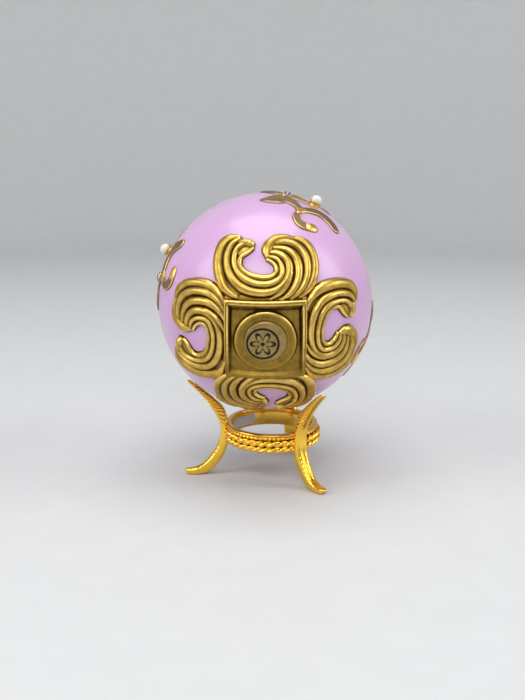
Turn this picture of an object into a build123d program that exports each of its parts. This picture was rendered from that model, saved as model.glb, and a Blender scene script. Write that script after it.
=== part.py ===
from build123d import *
import os
from math import acos, atan2, cos, hypot, pi, radians, sin

# A glazed porcelain egg with gilt relief, resting on a small three-legged ring stand.
# Millimetres. +Z is up, +X to the right, and -Y is the front, where the egg's blunt end points.
# The origin is on the table, under the middle of the whole object's box.

# ---------------------------------------------------------------- driving dimensions

# Egg: a ball at the blunt end, long arcs down the sides and a small ball at the sharp end.
EGG_LENGTH = 84.0
BLUNT_RADIUS = 32.0
SHARP_RADIUS = 17.0
EGG_TILT = 9.26                  # degrees that the blunt end points below level
EGG_CENTRE = (0.0, -8.87, 54.14)  # middle of the blunt ball
EGG_WALL = 2.6
SEAM_TURN = 41.0                 # degrees round the axis to the shell's seam, clear of ornaments

# Medallion on the blunt end. Places on it are arc lengths over the shell from the blunt pole.
DISC_RADIUS = 5.9
DISC_RISE = 0.9
POUR_HOLE_RADIUS = 4.2
SPIGOT_LENGTH = 3.2
FRAME_HALF = 11.1
FRAME_BORDER = 1.4
FRAME_RISE = 1.8
FIELD_RISE = 0.8
COLLAR_RADIUS = 8.2
CREST_RISE = 1.8
GROOVE_RISE = 0.8                # height of the groove floors above the shell
GROOVE_WIDTH = 0.6
CREST_MIDDLE = 20.0              # arc length from the pole to the middle of a crest

# Side ornaments, one set in each quarter: degrees round the axis, height along the axis.
SPRIG_RISE = 0.6
SPRIG_TURN = 71.0
SPRIG_MIRROR = -5.0              # the height that each sprig is mirrored about
HOOK_WIDTH = 2.4
LEAF_WIDTH = 4.0
TAIL_WIDTH = 3.8
STRAND_WIDTH = 1.1
BULB_PLACE = (63.5, 12.9)
BULB_RADIUS = 1.8
PEARL_PLACE = (63.2, -5.2)
PEARL_RADIUS = 1.6
PEARL_LIFT = 1.8                 # centre of the pearl above the shell
CUP_RADIUS = 1.75
CUP_HEIGHT = 1.2
STONE_PLACE = (78.5, -4.8)
STONE_RADIUS = 1.4
STONE_SIDES = 8
STONE_BASE = 0.4
STONE_GIRDLE = 0.6
STONE_CROWN = 0.6
STONE_CROWN_SLOPE = 38.0
BEZEL_RADIUS = 1.8
BEZEL_HEIGHT = 0.9

# Stand: a ring with wires round it and three scrolled legs.
STAND_CENTRE = (2.0, -6.62, 0.0)
LEG_ANGLES = (185.0, 305.0, 65.0)
PRONG_BENDS = (0.0, 0.0, 1.6)    # how far each prong's tip is bent up to meet the egg
RING_ORIGIN = (2.0, -5.88, 0.72)
RING_TILT = 3.2                  # the ring's back is higher than its front
RING_INNER = 12.5
BAND_OUTER = 13.4
RIM_OUTER = 14.2
RIM_HEIGHT = 0.8
RING_TOP = 16.0
BEAD_RADIUS = 0.5
ROPE_RADIUS = 0.95
WIRE_SINK = 0.15                 # how far each wire is flattened against the band
LEG_THICKNESS = 6.0              # block that the leg's front view is cut from
STICKER_TURN = 115.0
STICKER_SPAN = 50.0
STICKER_BASE = 11.3
STICKER_HEIGHT = 3.2
STICKER_THICKNESS = 0.12

REACH = 30.0                     # longer than any relief is deep, shorter than the egg is wide

# ---------------------------------------------------------------- places on the egg

SHARP_DISTANCE = EGG_LENGTH - BLUNT_RADIUS - SHARP_RADIUS
SIDE_RADIUS = (BLUNT_RADIUS**2 + SHARP_DISTANCE**2 - SHARP_RADIUS**2) / (
    2 * (BLUNT_RADIUS - SHARP_RADIUS)
)
SIDE_END = atan2(SIDE_RADIUS - BLUNT_RADIUS, -SHARP_DISTANCE)

EGG_PLANE = Plane(
    origin=EGG_CENTRE,
    x_dir=(1, 0, 0),
    z_dir=(0, -cos(radians(EGG_TILT)), -sin(radians(EGG_TILT))),
)
EGG_AXIS = Axis(EGG_CENTRE, EGG_PLANE.z_dir)
POLE_PLANE = EGG_PLANE.offset(BLUNT_RADIUS)


def outward(turn):
    """The direction square to the egg's axis at this many degrees round it."""
    return EGG_PLANE.x_dir * cos(radians(turn)) + EGG_PLANE.y_dir * sin(radians(turn))


MERIDIAN = Plane(
    origin=EGG_CENTRE,
    x_dir=outward(SEAM_TURN),
    z_dir=outward(SEAM_TURN).cross(EGG_PLANE.z_dir),
)


def egg_point(lean, lift=0.0):
    """(radius, height along the axis) where the shell faces this angle from the axis."""
    if lean <= pi / 2:
        centre, bend = (0.0, 0.0), BLUNT_RADIUS
    elif lean <= SIDE_END:
        centre, bend = (BLUNT_RADIUS - SIDE_RADIUS, 0.0), SIDE_RADIUS
    else:
        centre, bend = (0.0, -SHARP_DISTANCE), SHARP_RADIUS
    return centre[0] + (bend + lift) * sin(lean), centre[1] + (bend + lift) * cos(lean)


def egg_lean(height):
    """The angle from the axis that the shell faces at a height along it."""
    bend = BLUNT_RADIUS if height >= 0 else SIDE_RADIUS
    return acos(height / bend)


def egg_curve(lift):
    """Half outline of the egg from pole to pole, lifted off the shell."""
    ends = (0.0, pi / 2, SIDE_END, pi)
    arcs = [
        ThreePointArc(egg_point(first, lift), egg_point((first + last) / 2, lift), egg_point(last, lift))
        for first, last in zip(ends, ends[1:])
    ]
    return arcs[0] @ 0, arcs[-1] @ 1


def skin(low, high):
    """The layer between two heights over the shell; no low height gives a full egg."""
    with BuildPart() as layer:
        with BuildSketch(MERIDIAN):
            with BuildLine():
                outer_ends = egg_curve(high)
                if low is None:
                    Line(*outer_ends)
                else:
                    for outer_end, inner_end in zip(outer_ends, egg_curve(low)):
                        Line(outer_end, inner_end)
            make_face()
        revolve(axis=EGG_AXIS)
    return layer.part


def shell_plane(turn, height):
    """Plane resting on the shell and facing out; its y runs away from the blunt pole."""
    lean = egg_lean(height)
    out = outward(turn)
    normal = out * sin(lean) + EGG_PLANE.z_dir * cos(lean)
    origin = EGG_PLANE.origin + out * egg_point(lean)[0] + EGG_PLANE.z_dir * height
    return Plane(origin=origin, x_dir=out.cross(EGG_PLANE.z_dir), z_dir=normal)


def relief(plane, outline, layer):
    """An outline on a plane over the egg, pressed through a layer of it."""
    with BuildPart() as raised:
        with BuildSketch(plane):
            add(outline)
        extrude(amount=REACH, both=True)
        add(layer, mode=Mode.INTERSECT)
    return raised.part


def finish(part, name):
    """Name a finished piece and write it."""
    part.label = name
    export_step(part, f"parts/{name}.step")


os.makedirs("parts", exist_ok=True)
FULL_EGG = skin(None, 0.0)

# ---------------------------------------------------------------- porcelain shell and its plug

with BuildPart() as egg_shell:
    add(skin(-EGG_WALL, 0.0))
    with BuildSketch(POLE_PLANE):
        Circle(POUR_HOLE_RADIUS)
    extrude(amount=2 * EGG_WALL, both=True, mode=Mode.SUBTRACT)
finish(egg_shell.part, "egg_shell")

with BuildPart() as centre_plug:
    with BuildSketch(POLE_PLANE):
        Circle(DISC_RADIUS)
    extrude(amount=SPIGOT_LENGTH, both=True)
    add(skin(0.0, DISC_RISE), mode=Mode.INTERSECT)
    with BuildSketch(POLE_PLANE.offset(-SPIGOT_LENGTH)):
        Circle(POUR_HOLE_RADIUS)
    extrude(amount=SPIGOT_LENGTH + DISC_RISE / 2)
finish(centre_plug.part, "centre_plug")

# ---------------------------------------------------------------- medallion

with BuildSketch() as frame_outline:
    Rectangle(2 * FRAME_HALF, 2 * FRAME_HALF)
    Circle(DISC_RADIUS, mode=Mode.SUBTRACT)

with BuildSketch() as frame_field:
    Rectangle(2 * (FRAME_HALF - FRAME_BORDER), 2 * (FRAME_HALF - FRAME_BORDER))
    Circle(COLLAR_RADIUS, mode=Mode.SUBTRACT)

ABOVE_FIELD = skin(FIELD_RISE, 3 * FRAME_RISE)
CREST_LAYER = skin(0.0, CREST_RISE)
ABOVE_GROOVES = skin(GROOVE_RISE, 3 * CREST_RISE)

with BuildPart() as base_frame:
    add(relief(POLE_PLANE, frame_outline.sketch, skin(0.0, FRAME_RISE)))
    add(relief(POLE_PLANE, frame_field.sketch, ABOVE_FIELD), mode=Mode.SUBTRACT)
finish(base_frame.part, "base_frame")


def on_crest(right, up):
    """A place on the medallion, as it falls on the plane that rests on a crest's middle."""
    arc = hypot(right, up)
    bend = arc / BLUNT_RADIUS
    lean = CREST_MIDDLE / BLUNT_RADIUS
    across = BLUNT_RADIUS * sin(bend) * right / arc
    along = BLUNT_RADIUS * sin(bend) * up / arc
    return across, along * cos(lean) - BLUNT_RADIUS * cos(bend) * sin(lean)


# Outline of the top crest, round from the foot of its hook arm to the foot of its fan arm.
HOOK_BACK = [
    (-9.6, 12.0), (-13.0, 14.8), (-15.1, 19.0), (-15.3, 24.0), (-13.6, 28.2), (-9.4, 30.0),
    (-5.8, 29.0), (-3.2, 27.9), (-2.7, 26.2),
]
OPENING = [
    (-2.7, 26.2), (-4.2, 24.6), (-6.4, 23.5), (-7.1, 21.2), (-5.8, 18.6), (-3.4, 16.9),
    (-0.6, 16.4), (2.2, 18.6), (1.8, 20.7), (0.3, 21.9), (-0.8, 23.8), (-0.9, 25.4),
]
FAN_BACK = [
    (-0.9, 25.4), (0.8, 28.6), (4.6, 30.1), (8.8, 29.0), (12.6, 28.2), (15.1, 25.0),
    (15.9, 20.4), (14.6, 15.4), (11.6, 12.3),
]
GROOVES = [
    [(-6.2, 12.6), (-9.6, 16.2), (-11.8, 21.2), (-11.4, 26.0), (-9.4, 28.5)],
    [(-7.0, 27.8), (-9.6, 23.6), (-8.3, 18.3), (-3.4, 14.2), (2.2, 14.2), (5.3, 17.3), (5.6, 20.5)],
    [(-4.8, 12.4), (-1.5, 11.9), (1.6, 12.6), (3.7, 14.0)],
    [(2.6, 12.0), (6.6, 14.1), (8.3, 18.4), (7.0, 22.4), (3.5, 24.4)],
    [(6.2, 11.9), (9.7, 15.3), (11.0, 20.0), (8.7, 25.0), (4.0, 26.2)],
    [(9.2, 12.2), (12.8, 16.6), (13.6, 21.2), (11.8, 25.8), (8.7, 28.0)],
]

with BuildSketch() as crest_outline:
    with BuildLine():
        Spline(*[on_crest(*place) for place in HOOK_BACK])
        Spline(*[on_crest(*place) for place in OPENING])
        Spline(*[on_crest(*place) for place in FAN_BACK])
        Line(on_crest(*FAN_BACK[-1]), on_crest(*HOOK_BACK[0]))
    make_face()

with BuildSketch() as crest_grooves:
    for groove in GROOVES:
        with BuildLine() as groove_line:
            Spline(*[on_crest(*place) for place in groove])
        trace(groove_line.line, line_width=GROOVE_WIDTH)

CREST_HEIGHT = BLUNT_RADIUS * cos(CREST_MIDDLE / BLUNT_RADIUS)
for number in range(4):
    crest_plane = shell_plane(90.0 - 90.0 * number, CREST_HEIGHT)
    with BuildPart() as crest:
        add(relief(crest_plane, crest_outline.sketch, CREST_LAYER))
        add(relief(crest_plane, crest_grooves.sketch, ABOVE_GROOVES), mode=Mode.SUBTRACT)
        add(base_frame.part, mode=Mode.SUBTRACT)
    finish(crest.part, f"crest_{number + 1}")

# ---------------------------------------------------------------- side ornaments

HOOK = [(71.6, 7.0), (72.7, 10.2), (72.2, 12.2), (69.6, 13.5), (66.6, 13.7), (63.8, 13.0)]
LEAF = [(91.8, 2.6), (87.1, 1.7), (81.7, 1.0), (76.4, 1.9), (73.1, 4.3), (71.6, 7.0)]
TAIL = [(71.6, 7.0), (66.7, 4.6), (61.2, 3.4), (56.3, 3.9), (52.4, 5.6), (50.2, 6.9)]
STRAND = [(80.7, -3.0), (75.1, -2.7), (69.4, -1.9), (64.4, -0.6), (61.2, 1.6)]


def on_side(turn, height):
    """A place on the shell's side, as it falls on the plane that faces a sprig."""
    radius = egg_point(egg_lean(height))[0]
    return -radius * sin(radians(turn - SPRIG_TURN)), -height


def mirrored(places):
    """The same places on the far side of the sprig's mirror height."""
    return [(turn, 2 * SPRIG_MIRROR - height) for turn, height in places]


with BuildSketch() as sprig_outline:
    for places, width in (
        (HOOK, HOOK_WIDTH),
        (LEAF, LEAF_WIDTH),
        (TAIL, TAIL_WIDTH),
        (STRAND, STRAND_WIDTH),
        (mirrored(HOOK), HOOK_WIDTH),
        (mirrored(LEAF), LEAF_WIDTH),
        (mirrored(TAIL), TAIL_WIDTH),
        (mirrored(STRAND), STRAND_WIDTH),
    ):
        with BuildLine() as ribbon:
            Spline(*[on_side(*place) for place in places])
        trace(ribbon.line, line_width=width)
    for bulb in (BULB_PLACE, *mirrored([BULB_PLACE])):
        with Locations(on_side(*bulb)):
            Circle(BULB_RADIUS)

SPRIG_LAYER = skin(0.0, SPRIG_RISE)
for number in range(4):
    turn = 90.0 * number
    pearl_plane = shell_plane(PEARL_PLACE[0] - turn, PEARL_PLACE[1])
    stone_plane = shell_plane(STONE_PLACE[0] - turn, STONE_PLACE[1])
    sprig_plane = shell_plane(SPRIG_TURN - turn, 0.0)

    with BuildPart() as pearl:
        with Locations(pearl_plane.offset(PEARL_LIFT)):
            Sphere(PEARL_RADIUS)
    finish(pearl.part, f"pearl_{number + 1}")

    with BuildPart() as pearl_cup:
        with BuildSketch(pearl_plane.offset(CUP_HEIGHT)):
            Circle(CUP_RADIUS)
        extrude(amount=-2 * CUP_HEIGHT)
        add(FULL_EGG, mode=Mode.SUBTRACT)
        add(pearl.part, mode=Mode.SUBTRACT)
    finish(pearl_cup.part, f"pearl_cup_{number + 1}")

    with BuildPart() as blue_stone:
        with BuildSketch(stone_plane.offset(STONE_BASE)):
            RegularPolygon(STONE_RADIUS, STONE_SIDES)
        extrude(amount=STONE_GIRDLE)
        with BuildSketch(stone_plane.offset(STONE_BASE + STONE_GIRDLE)):
            RegularPolygon(STONE_RADIUS, STONE_SIDES)
        extrude(amount=STONE_CROWN, taper=STONE_CROWN_SLOPE)
    finish(blue_stone.part, f"blue_stone_{number + 1}")

    with BuildPart() as stone_bezel:
        with BuildSketch(stone_plane.offset(BEZEL_HEIGHT)):
            Circle(BEZEL_RADIUS)
        extrude(amount=-2 * BEZEL_HEIGHT)
        add(FULL_EGG, mode=Mode.SUBTRACT)
        add(blue_stone.part, mode=Mode.SUBTRACT)
    finish(stone_bezel.part, f"stone_bezel_{number + 1}")

    with BuildPart() as scroll_sprig:
        add(relief(sprig_plane, sprig_outline.sketch, SPRIG_LAYER))
        add(pearl_cup.part, mode=Mode.SUBTRACT)
        add(pearl.part, mode=Mode.SUBTRACT)
        add(stone_bezel.part, mode=Mode.SUBTRACT)
        add(blue_stone.part, mode=Mode.SUBTRACT)
    finish(scroll_sprig.part, f"scroll_sprig_{number + 1}")

# ---------------------------------------------------------------- stand

RING_PLANE = Plane(
    origin=RING_ORIGIN,
    x_dir=(1, 0, 0),
    z_dir=(0, -sin(radians(RING_TILT)), cos(radians(RING_TILT))),
)
RING_AXIS = Axis(RING_ORIGIN, RING_PLANE.z_dir)
RING_SECTION = Plane(origin=RING_ORIGIN, x_dir=RING_PLANE.x_dir, z_dir=-RING_PLANE.y_dir)
BEAD_HEIGHT = RING_TOP - RIM_HEIGHT - BEAD_RADIUS
UPPER_ROPE_HEIGHT = BEAD_HEIGHT - BEAD_RADIUS - ROPE_RADIUS
LOWER_ROPE_HEIGHT = UPPER_ROPE_HEIGHT - 2 * ROPE_RADIUS
BAND_BOTTOM = LOWER_ROPE_HEIGHT - ROPE_RADIUS

# Side view of a leg as (distance from the stand's axis, height): toe, inner edge, tip, outer edge.
FOOT_INNER = [(22.6, 0.0), (19.7, 0.7), (17.2, 2.8), (14.9, 6.2), (13.8, 9.4)]
PRONG_INNER = [(13.4, 17.4), (14.0, 19.9), (15.6, 22.2), (18.2, 24.7), (21.4, 27.2), (25.3, 30.1)]
PRONG_OUTER = [(26.5, 29.8), (23.7, 27.4), (21.0, 24.4), (18.4, 20.6), (16.5, 17.0), (15.9, 13.6)]
FOOT_OUTER = [(16.8, 9.4), (18.7, 6.3), (21.0, 3.8), (23.8, 2.2), (26.8, 2.2)]
SOLE_LENGTH = 3.2
TOE_TIP = (27.3, 1.0)
TOE_END = (27.3, 1.6)
PRONG_TIP = (26.1, 30.4)

# Front view of a leg: half widths at each height.
LEG_HALF_WIDTHS = [
    (1.3, 0.0), (1.5, 4.0), (1.9, 9.0), (2.1, 14.0), (2.05, 19.0), (1.9, 25.0), (1.5, 32.0),
]


def bent(places, rise):
    """Points of a prong, raised in proportion to how far out they are."""
    span = PRONG_INNER[-1][0] - BAND_OUTER
    return [(out, height + rise * (out - BAND_OUTER) / span) for out, height in places]


def leg(angle, rise):
    """One cast leg: a scrolled foot below the ring and a prong above it."""
    prong_inner = bent(PRONG_INNER, rise)
    prong_outer = bent(PRONG_OUTER, rise)
    out = Vector(cos(radians(angle)), sin(radians(angle)), 0)
    side = Vector(-sin(radians(angle)), cos(radians(angle)), 0)
    with BuildPart() as cast:
        with BuildSketch(Plane(origin=STAND_CENTRE, x_dir=out, z_dir=-side)):
            with BuildLine():
                sole_end = (FOOT_INNER[0][0] + SOLE_LENGTH, 0.0)
                Line(sole_end, FOOT_INNER[0])
                Spline(*FOOT_INNER, (BAND_OUTER, BAND_BOTTOM), tangents=[(-1, 0), (0, 1)])
                Line((BAND_OUTER, BAND_BOTTOM), (BAND_OUTER, RING_TOP))
                Spline((BAND_OUTER, RING_TOP), *prong_inner)
                ThreePointArc(prong_inner[-1], bent([PRONG_TIP], rise)[0], prong_outer[0])
                Spline(*prong_outer, tangents=[(-1, -0.9), (0, -1)])
                Spline(prong_outer[-1], *FOOT_OUTER, tangents=[(0, -1), (1, 0.1)])
                ThreePointArc(FOOT_OUTER[-1], TOE_END, TOE_TIP)
                Spline(TOE_TIP, sole_end, tangents=[(-0.6, -1), (-1, 0)])
            make_face()
        extrude(amount=LEG_THICKNESS / 2, both=True)
        with BuildSketch(Plane(origin=STAND_CENTRE, x_dir=side, z_dir=out)):
            with BuildLine():
                right_edge = Spline(*LEG_HALF_WIDTHS)
                left_edge = Spline(*[(-half, height) for half, height in LEG_HALF_WIDTHS])
                Line(right_edge @ 0, left_edge @ 0)
                Line(right_edge @ 1, left_edge @ 1)
            make_face()
        extrude(amount=REACH, mode=Mode.INTERSECT)
    return cast.part


legs = [leg(angle, rise) for angle, rise in zip(LEG_ANGLES, PRONG_BENDS)]
for number, cast_leg in enumerate(legs):
    finish(cast_leg, f"leg_{number + 1}")

with BuildPart() as stand_ring:
    with BuildSketch(RING_SECTION):
        with BuildLine():
            Polyline(
                (RING_INNER, BAND_BOTTOM),
                (BAND_OUTER, BAND_BOTTOM),
                (BAND_OUTER, RING_TOP - RIM_HEIGHT),
                (RIM_OUTER, RING_TOP - RIM_HEIGHT),
                (RIM_OUTER, RING_TOP),
                (RING_INNER, RING_TOP),
                close=True,
            )
        make_face()
    revolve(axis=RING_AXIS)
    add(legs, mode=Mode.SUBTRACT)
finish(stand_ring.part, "stand_ring")

for name, radius, height in (
    ("bead_wire", BEAD_RADIUS, BEAD_HEIGHT),
    ("upper_rope", ROPE_RADIUS, UPPER_ROPE_HEIGHT),
    ("lower_rope", ROPE_RADIUS, LOWER_ROPE_HEIGHT),
):
    with BuildPart() as wire:
        with BuildSketch(RING_SECTION):
            with Locations((BAND_OUTER + radius - WIRE_SINK, height)):
                Circle(radius)
            with Locations((BAND_OUTER - radius, height)):
                Rectangle(2 * radius, 4 * radius, mode=Mode.SUBTRACT)
        revolve(axis=RING_AXIS)
        add(legs, mode=Mode.SUBTRACT)
    finish(wire.part, name)

with BuildPart() as label_sticker:
    start = radians(STICKER_TURN)
    out = RING_PLANE.x_dir * cos(start) + RING_PLANE.y_dir * sin(start)
    with BuildSketch(Plane(origin=RING_ORIGIN, x_dir=out, z_dir=out.cross(RING_PLANE.z_dir))):
        with Locations((RING_INNER - STICKER_THICKNESS / 2, STICKER_BASE + STICKER_HEIGHT / 2)):
            Rectangle(STICKER_THICKNESS, STICKER_HEIGHT)
    revolve(axis=RING_AXIS, revolution_arc=STICKER_SPAN)
finish(label_sticker.part, "label_sticker")
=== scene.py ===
import bpy
import bmesh
import numpy as np
from math import asin, atan2, cos, pi, radians, sin
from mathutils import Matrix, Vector


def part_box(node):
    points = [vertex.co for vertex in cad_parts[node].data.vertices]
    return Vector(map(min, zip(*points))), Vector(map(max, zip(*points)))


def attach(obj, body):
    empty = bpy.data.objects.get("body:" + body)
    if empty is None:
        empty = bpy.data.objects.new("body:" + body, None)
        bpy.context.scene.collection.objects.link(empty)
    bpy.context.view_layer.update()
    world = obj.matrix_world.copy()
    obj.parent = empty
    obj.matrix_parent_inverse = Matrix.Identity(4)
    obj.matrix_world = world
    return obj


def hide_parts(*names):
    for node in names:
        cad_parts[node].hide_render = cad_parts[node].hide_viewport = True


# Looks for a lilac porcelain egg with gilt relief on a gold ring stand.
# Lengths in this script are millimetres until a mesh is made, which is in metres.

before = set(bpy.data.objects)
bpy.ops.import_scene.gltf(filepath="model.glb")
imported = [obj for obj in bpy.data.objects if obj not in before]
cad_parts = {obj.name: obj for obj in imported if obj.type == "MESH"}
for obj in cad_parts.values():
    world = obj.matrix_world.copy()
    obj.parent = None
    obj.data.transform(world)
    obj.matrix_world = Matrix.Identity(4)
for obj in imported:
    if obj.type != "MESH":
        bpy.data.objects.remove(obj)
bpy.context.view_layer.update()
MM = 0.001

# ---------------------------------------------------------------- the egg's place and shape


def node_box(name):
    """Lowest and highest corner of a CAD node in millimetres."""
    low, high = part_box(name)
    return np.array(low) / MM, np.array(high) / MM


SHELL_LOW, SHELL_HIGH = node_box("egg_shell")
BLUNT_RADIUS = (SHELL_HIGH[0] - SHELL_LOW[0]) / 2
EGG_LENGTH = 84.0
SHARP_RADIUS = 17.0
EGG_TILT = radians(9.26)
SHARP_DISTANCE = EGG_LENGTH - BLUNT_RADIUS - SHARP_RADIUS
SIDE_RADIUS = (BLUNT_RADIUS**2 + SHARP_DISTANCE**2 - SHARP_RADIUS**2) / (
    2 * (BLUNT_RADIUS - SHARP_RADIUS)
)
SIDE_END = atan2(SIDE_RADIUS - BLUNT_RADIUS, -SHARP_DISTANCE)
QUARTER_ARC = BLUNT_RADIUS * pi / 2
EGG_CENTRE = np.array([
    (SHELL_LOW[0] + SHELL_HIGH[0]) / 2,
    SHELL_LOW[1] + BLUNT_RADIUS,
    SHELL_LOW[2] + BLUNT_RADIUS,
])
AXIS = np.array([0.0, -cos(EGG_TILT), -sin(EGG_TILT)])
RIGHT = np.array([1.0, 0.0, 0.0])
VERTICAL = np.array([0.0, 0.0, 1.0])
UP = np.cross(AXIS, RIGHT)


def on_egg(turn, arc, lift):
    """Points over the shell: turn round the axis, arc length from the blunt pole, and lift."""
    turn, arc, lift = np.broadcast_arrays(turn, arc, lift)
    side_arc = SIDE_RADIUS * (SIDE_END - pi / 2)
    past_ball = np.clip(arc - QUARTER_ARC, 0, side_arc)
    past_side = np.maximum(arc - QUARTER_ARC - side_arc, 0)
    lean = np.minimum(arc, QUARTER_ARC) / BLUNT_RADIUS + past_ball / SIDE_RADIUS
    lean = lean + past_side / SHARP_RADIUS
    on_ball, on_side = arc <= QUARTER_ARC, past_side <= 0
    bend = np.where(on_ball, BLUNT_RADIUS, np.where(on_side, SIDE_RADIUS, SHARP_RADIUS))
    middle_r = np.where(on_ball | ~on_side, 0.0, BLUNT_RADIUS - SIDE_RADIUS)
    middle_h = np.where(on_side, 0.0, -SHARP_DISTANCE)
    radius = middle_r + (bend + lift) * np.sin(lean)
    height = middle_h + (bend + lift) * np.cos(lean)
    out = np.cos(turn)[..., None] * RIGHT + np.sin(turn)[..., None] * UP
    return EGG_CENTRE + radius[..., None] * out + height[..., None] * AXIS


# ---------------------------------------------------------------- mesh helpers


def new_piece(name, points, faces, values=None):
    """A smooth mesh piece from points in millimetres, with optional named values per point."""
    mesh = bpy.data.meshes.new(name)
    mesh.from_pydata((np.asarray(points, float) * MM).tolist(), [], faces)
    mesh.update()
    mesh.polygons.foreach_set("use_smooth", [True] * len(mesh.polygons))
    for key, data in (values or {}).items():
        layer = mesh.attributes.new(key, "FLOAT", "POINT")
        layer.data.foreach_set("value", np.asarray(data, np.float32))
    piece = bpy.data.objects.new(name, mesh)
    bpy.context.scene.collection.objects.link(piece)
    return piece


def grid_faces(rows, columns, wrap_rows=False, wrap_columns=False):
    """Quads over a grid of points stored row by row."""
    row = np.arange(rows if wrap_rows else rows - 1)
    column = np.arange(columns if wrap_columns else columns - 1)
    r, c = np.meshgrid(row, column, indexing="ij")
    r, c = r.ravel(), c.ravel()
    next_r, next_c = (r + 1) % rows, (c + 1) % columns
    quads = np.stack([
        r * columns + c, next_r * columns + c, next_r * columns + next_c, r * columns + next_c,
    ], 1)
    return quads.tolist()


def full_turn(count):
    """Equal steps once round, without the last that repeats the first."""
    return np.linspace(0, 2 * pi, count, endpoint=False)


def arrows(turns, side, other):
    """A unit arrow at each turn in the plane of two directions."""
    return np.cos(turns)[:, None] * side + np.sin(turns)[:, None] * other


def smooth_line(points, step=0.4):
    """A natural cubic spline through rows of numbers; the first two are its place."""
    p = np.array(points, float)
    t = np.concatenate([[0], np.cumsum(np.hypot(*np.diff(p[:, :2], axis=0).T))])
    n = len(p)
    gap = np.diff(t)
    system = np.eye(n)
    right = np.zeros_like(p)
    for i in range(1, n - 1):
        system[i, i - 1:i + 2] = gap[i - 1], 2 * (gap[i - 1] + gap[i]), gap[i]
        right[i] = 6 * ((p[i + 1] - p[i]) / gap[i] - (p[i] - p[i - 1]) / gap[i - 1])
    bend = np.linalg.solve(system, right)
    at = np.linspace(0, t[-1], max(3, int(t[-1] / step)))
    k = np.clip(np.searchsorted(t, at, side="right") - 1, 0, n - 2)
    h = gap[k][:, None]
    a = (t[k + 1] - at)[:, None] / h
    b = 1 - a
    curve = (a**3 - a) * bend[k] + (b**3 - b) * bend[k + 1]
    return a * p[k] + b * p[k + 1] + curve * h**2 / 6


def near_stroke(u, v, stroke):
    """For each place: distance to a stroke over its half width there, and its height there."""
    line = smooth_line(stroke)
    best = np.full(u.shape, np.inf)
    width = np.ones(u.shape)
    height = np.zeros(u.shape)
    for start, end in zip(line, line[1:]):
        along = end[:2] - start[:2]
        share = ((u - start[0]) * along[0] + (v - start[1]) * along[1]) / (along @ along)
        share = np.clip(share, 0, 1)
        gap = np.hypot(u - start[0] - share * along[0], v - start[1] - share * along[1])
        near = gap < best
        best[near] = gap[near]
        width[near] = (start[2] + share * (end[2] - start[2]))[near]
        height[near] = (start[3] + share * (end[3] - start[3]))[near]
    return best / width, height


# A stroke's cross-section runs over x, the distance from its middle over its half width there.
EDGE = 0.94          # where a rounded side turns straight down
DISH_LEVEL = 0.74    # height of a dished ribbon between its rims
RIM_MIDDLE, RIM_SPREAD = 0.8, 0.14
RIM_EDGE, RIM_FALL = 0.92, 7.0
STROKE_REACH = 1.6   # a stroke adds nothing past here
STROKE_FLOOR = -0.5


def rounded(x):
    """Cross-section of a ridge: a half ellipse whose sides go straight on below the shell."""
    top = np.sqrt(np.maximum(1 - np.minimum(x, EDGE) ** 2, 0))
    fall = EDGE / np.sqrt(1 - EDGE**2)
    return top - fall * np.maximum(x - EDGE, 0)


def dished(x):
    """Cross-section of a flat ribbon with raised rims."""
    rim = DISH_LEVEL + (1 - DISH_LEVEL) * np.exp(-((x - RIM_MIDDLE) / RIM_SPREAD) ** 2)
    return np.where(x < RIM_EDGE, rim, rim - RIM_FALL * (x - RIM_EDGE))


def strokes_height(u, v, strokes, shape=rounded):
    """The highest of the strokes at each place."""
    total = np.full(u.shape, STROKE_FLOOR)
    for stroke in strokes:
        x, height = near_stroke(u, v, stroke)
        ridge = np.where(x < STROKE_REACH, height * shape(x), STROKE_FLOOR)
        total = np.maximum(total, ridge)
    return total


def blurred(field, times):
    """The field, averaged with its neighbours this many times."""
    for _ in range(times):
        padded = np.pad(field, 1, mode="edge")
        near = padded[1:-1, :-2] + padded[1:-1, 2:] + padded[:-2, 1:-1] + padded[2:, 1:-1]
        field = (near + 2 * field) / 6
    return field


HOLLOW_BLUR = 14
HOLLOW_DEPTH = 0.35


def hollows(height):
    """From -1 on sharp ridges to 1 deep in grooves."""
    shown = np.maximum(height, 0)
    return np.clip((blurred(shown, HOLLOW_BLUR) - shown) / HOLLOW_DEPTH, -1, 1)


HIDDEN = -0.45     # relief lower than this lies inside the shell and is left out
UNDERSIDE = -0.6
THINNEST = 0.05    # least height of a relief's top over its underside


def relief_piece(name, u, v, height, place, extra=None):
    """A closed skin over a grid of heights above the shell; place turns the grid into points."""
    height = np.clip(height, UNDERSIDE + THINNEST, None)
    keep = height > HIDDEN
    cells = keep[:-1, :-1] | keep[1:, :-1] | keep[:-1, 1:] | keep[1:, 1:]
    rows, columns = height.shape
    index = np.arange(rows * columns).reshape(rows, columns)
    quads = np.stack([index[:-1, :-1], index[1:, :-1], index[1:, 1:], index[:-1, 1:]], -1)[cells]
    used, flat = np.unique(quads.ravel(), return_inverse=True)
    quads = flat.reshape(-1, 4)
    count = len(used)
    sides = ([0, 1], [1, 2], [2, 3], [3, 0])
    edges = np.concatenate([quads[:, ends] for ends in sides])
    codes = edges[:, 0] * count + edges[:, 1]
    back = edges[:, 1] * count + edges[:, 0]
    rim = edges[~np.isin(codes, back)]
    walls = np.stack([rim[:, 1], rim[:, 0], rim[:, 0] + count, rim[:, 1] + count], 1)
    under = quads[:, ::-1] + count
    top = place(u.ravel()[used], v.ravel()[used], height.ravel()[used])
    low = place(u.ravel()[used], v.ravel()[used], np.full(count, UNDERSIDE))
    values = {}
    # The cavity value sets the gilding's tone: a painted highlight on ridges, and patina with
    # painted shade in the grooves.
    for key, data in {"cavity": hollows(height), **(extra or {})}.items():
        values[key] = np.concatenate([data.ravel()[used], np.zeros(count)])
    faces = np.concatenate([quads, under, walls]).tolist()
    return new_piece(name, np.concatenate([top, low]), faces, values=values)


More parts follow.
